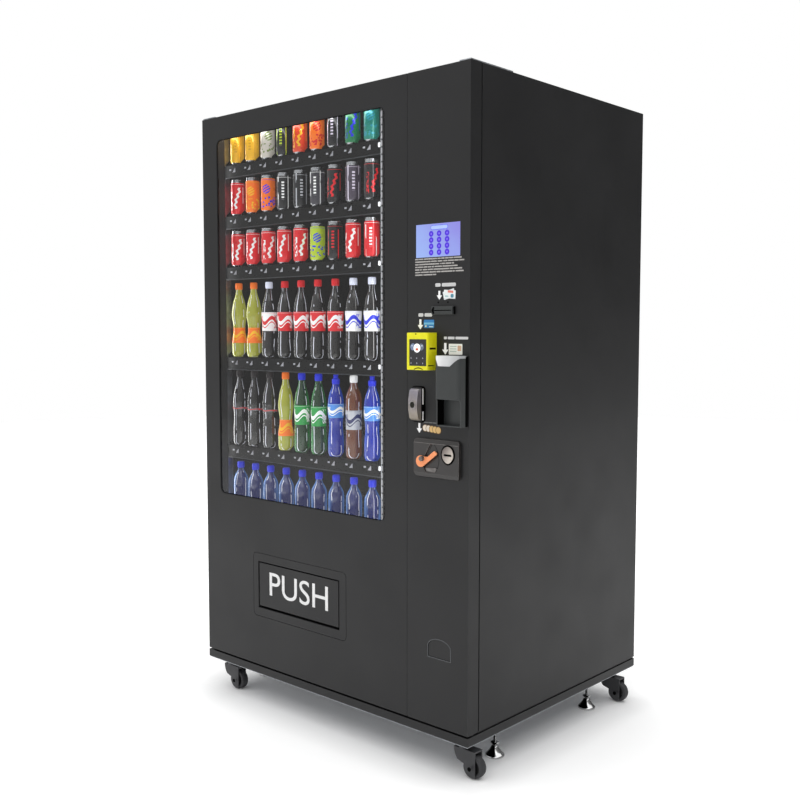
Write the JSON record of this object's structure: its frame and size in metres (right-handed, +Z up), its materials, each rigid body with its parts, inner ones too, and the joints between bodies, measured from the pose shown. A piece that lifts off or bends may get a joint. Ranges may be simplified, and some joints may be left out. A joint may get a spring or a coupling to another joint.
{
  "type": "vending machine",
  "caption": "Free-standing glass-front vending machine with spiral trays, a delivery flap, a hinged payment door with its devices, swivel casters and levelling feet.",
  "frame": {"origin": "on the floor, under the middle of the whole machine's box, which runs from the face of the card reader to the back panel", "axes": "+Z up, -Y towards the customer (the door faces), +X to the customer's right"},
  "size_m": [1.16, 0.942, 1.94],
  "materials": {
    "black_coated_steel": "satin powder coat",
    "black_interior": "satin black",
    "galvanised_steel": "galvanised",
    "chrome_steel": "bright",
    "condenser_aluminium": "mill finish",
    "compressor_black": "gloss enamel",
    "caster_black": "black finish",
    "rubber_black": "matt",
    "window_glass": "clear",
    "lamp_white": "glowing diffuser",
    "screen_lavender": "lit display",
    "device_grey": "fine texture",
    "reader_yellow": "semi-gloss",
    "reader_glass": "dark",
    "scanner_black": "satin",
    "scoop_grey": "satin",
    "handle_grey": "cast, satin",
    "lever_orange": "semi-gloss",
    "inner_black_plastic": "matt"
  },
  "bodies": {
    "cabinet": {"base_pan": "galvanised_steel", "base_plinth": "black_coated_steel", "left_side_panel": "black_coated_steel", "right_side_panel": "black_coated_steel", "top_panel": "black_coated_steel", "back_panel": "black_coated_steel", "partition_wall": "black_interior", "compartment_floor": "black_interior", "left_upright": "galvanised_steel", "right_upright": "galvanised_steel", "light_strip": "lamp_white", "top_left_hinge_plate": "galvanised_steel", "top_right_hinge_plate": "galvanised_steel", "compressor": "compressor_black", "condenser": "condenser_aluminium", "power_box": "device_grey", "tray_1": "black_interior", "tray_2": "black_interior", "tray_3": "black_interior", "tray_4": "black_interior", "tray_5": "black_interior", "tray_6": "black_interior"},
    "main_door": {"main_door_shell": "black_coated_steel", "window_glass": "window_glass", "door_gasket": "rubber_black", "bin_surround": "black_coated_steel", "delivery_bin": "inner_black_plastic"},
    "delivery_flap": {"delivery_flap": "black_coated_steel"},
    "payment_door": {"payment_door_shell": "black_coated_steel", "touch_screen": "screen_lavender", "bill_validator": "device_grey", "card_reader_case": "reader_yellow", "card_reader_screen": "reader_glass", "id_reader": "scanner_black", "id_reader_hood": "scoop_grey", "coin_acceptor": "device_grey", "coin_return_cup": "inner_black_plastic"},
    "t_handle": {"t_handle": "handle_grey"},
    "key_cylinder": {"key_cylinder": "chrome_steel"},
    "coin_return_lever": {"coin_return_lever": "lever_orange"},
    "coin_return_flap": {"coin_return_flap": "black_coated_steel"},
    "condenser_fan": {"condenser_fan": "inner_black_plastic"},
    "spiral_1": {"spiral_1": "chrome_steel"},
    "spiral_2": {"spiral_2": "chrome_steel"},
    "spiral_3": {"spiral_3": "chrome_steel"},
    "spiral_4": {"spiral_4": "chrome_steel"},
    "spiral_5": {"spiral_5": "chrome_steel"},
    "spiral_6": {"spiral_6": "chrome_steel"},
    "caster_fork_front_left": {"caster_fork_front_left": "caster_black"},
    "caster_wheel_front_left": {"caster_wheel_front_left": "rubber_black"},
    "caster_fork_front_right": {"caster_fork_front_right": "caster_black"},
    "caster_wheel_front_right": {"caster_wheel_front_right": "rubber_black"},
    "caster_fork_rear_left": {"caster_fork_rear_left": "caster_black"},
    "caster_wheel_rear_left": {"caster_wheel_rear_left": "rubber_black"},
    "caster_fork_rear_right": {"caster_fork_rear_right": "caster_black"},
    "caster_wheel_rear_right": {"caster_wheel_rear_right": "rubber_black"},
    "levelling_foot_front_left": {"levelling_foot_front_left": "chrome_steel"},
    "levelling_foot_front_right": {"levelling_foot_front_right": "chrome_steel"},
    "levelling_foot_rear_left": {"levelling_foot_rear_left": "chrome_steel"},
    "levelling_foot_rear_right": {"levelling_foot_rear_right": "chrome_steel"}
  },
  "joints": [
    {"name": "main_door_hinge", "type": "hinge", "parent": "cabinet", "child": "main_door", "pos_m": [-0.56, -0.405, 1.036], "axis": [0, 0, -1], "range_deg": [0, 110]},
    {"name": "payment_door_hinge", "type": "hinge", "parent": "cabinet", "child": "payment_door", "pos_m": [0.56, -0.405, 1.036], "axis": [0, 0, 1], "range_deg": [0, 110]},
    {"name": "delivery_flap_hinge", "type": "hinge", "parent": "main_door", "child": "delivery_flap", "pos_m": [-0.1135, -0.425, 0.474], "axis": [1, 0, 0], "range_deg": [0, 75]},
    {"name": "t_handle_pop", "type": "slide", "parent": "payment_door", "child": "t_handle", "axis": [0, -1, 0], "range_m": [0, 0.012]},
    {"name": "key_turn", "type": "hinge", "parent": "t_handle", "child": "key_cylinder", "pos_m": [0.392, -0.4555, 1.032], "axis": [0, -1, 0], "range_deg": [0, 90]},
    {"name": "coin_return_lever_turn", "type": "hinge", "parent": "payment_door", "child": "coin_return_lever", "pos_m": [0.422, -0.4465, 0.8855], "axis": [0, 1, 0], "range_deg": [0, 30]},
    {"name": "coin_return_flap_hinge", "type": "hinge", "parent": "payment_door", "child": "coin_return_flap", "pos_m": [0.4705, -0.426, 0.373], "axis": [1, 0, 0], "range_deg": [0, 55]},
    {"name": "condenser_fan_spin", "type": "hinge", "parent": "cabinet", "child": "condenser_fan", "pos_m": [-0.012, 0.083, 0.25], "axis": [0, -1, 0], "continuous": true},
    {"name": "spiral_1_turn", "type": "hinge", "parent": "cabinet", "child": "spiral_1", "pos_m": [-0.1833, -0.051, 1.8198], "axis": [0, -1, 0], "continuous": true},
    {"name": "spiral_2_turn", "type": "hinge", "parent": "cabinet", "child": "spiral_2", "pos_m": [-0.1833, -0.051, 1.6498], "axis": [0, -1, 0], "continuous": true},
    {"name": "spiral_3_turn", "type": "hinge", "parent": "cabinet", "child": "spiral_3", "pos_m": [-0.1833, -0.051, 1.4788], "axis": [0, -1, 0], "continuous": true},
    {"name": "spiral_4_turn", "type": "hinge", "parent": "cabinet", "child": "spiral_4", "pos_m": [-0.1833, -0.051, 1.1748], "axis": [0, -1, 0], "continuous": true},
    {"name": "spiral_5_turn", "type": "hinge", "parent": "cabinet", "child": "spiral_5", "pos_m": [-0.1833, -0.051, 0.8728], "axis": [0, -1, 0], "continuous": true},
    {"name": "spiral_6_turn", "type": "hinge", "parent": "cabinet", "child": "spiral_6", "pos_m": [-0.1833, -0.051, 0.5708], "axis": [0, -1, 0], "continuous": true},
    {"name": "caster_swivel_front_left", "type": "hinge", "parent": "cabinet", "child": "caster_fork_front_left", "pos_m": [-0.51, -0.3765, 0.095], "axis": [0, 0, 1], "continuous": true},
    {"name": "caster_roll_front_left", "type": "hinge", "parent": "caster_fork_front_left", "child": "caster_wheel_front_left", "pos_m": [-0.474, -0.3765, 0.032], "axis": [0, 1, 0], "continuous": true},
    {"name": "caster_swivel_front_right", "type": "hinge", "parent": "cabinet", "child": "caster_fork_front_right", "pos_m": [0.52, -0.3765, 0.095], "axis": [0, 0, 1], "continuous": true},
    {"name": "caster_roll_front_right", "type": "hinge", "parent": "caster_fork_front_right", "child": "caster_wheel_front_right", "pos_m": [0.556, -0.3765, 0.032], "axis": [0, 1, 0], "continuous": true},
    {"name": "caster_swivel_rear_left", "type": "hinge", "parent": "cabinet", "child": "caster_fork_rear_left", "pos_m": [-0.51, 0.4, 0.095], "axis": [0, 0, 1], "continuous": true},
    {"name": "caster_roll_rear_left", "type": "hinge", "parent": "caster_fork_rear_left", "child": "caster_wheel_rear_left", "pos_m": [-0.474, 0.4, 0.032], "axis": [0, 1, 0], "continuous": true},
    {"name": "caster_swivel_rear_right", "type": "hinge", "parent": "cabinet", "child": "caster_fork_rear_right", "pos_m": [0.52, 0.4, 0.095], "axis": [0, 0, 1], "continuous": true},
    {"name": "caster_roll_rear_right", "type": "hinge", "parent": "caster_fork_rear_right", "child": "caster_wheel_rear_right", "pos_m": [0.556, 0.4, 0.032], "axis": [0, 1, 0], "continuous": true},
    {"name": "levelling_foot_screw_front_left", "type": "slide", "parent": "cabinet", "child": "levelling_foot_front_left", "axis": [0, 0, -1], "range_m": [-0.015, 0.025]},
    {"name": "levelling_foot_screw_front_right", "type": "slide", "parent": "cabinet", "child": "levelling_foot_front_right", "axis": [0, 0, -1], "range_m": [-0.015, 0.025]},
    {"name": "levelling_foot_screw_rear_left", "type": "slide", "parent": "cabinet", "child": "levelling_foot_rear_left", "axis": [0, 0, -1], "range_m": [-0.015, 0.025]},
    {"name": "levelling_foot_screw_rear_right", "type": "slide", "parent": "cabinet", "child": "levelling_foot_rear_right", "axis": [0, 0, -1], "range_m": [-0.015, 0.025]}
  ]
}
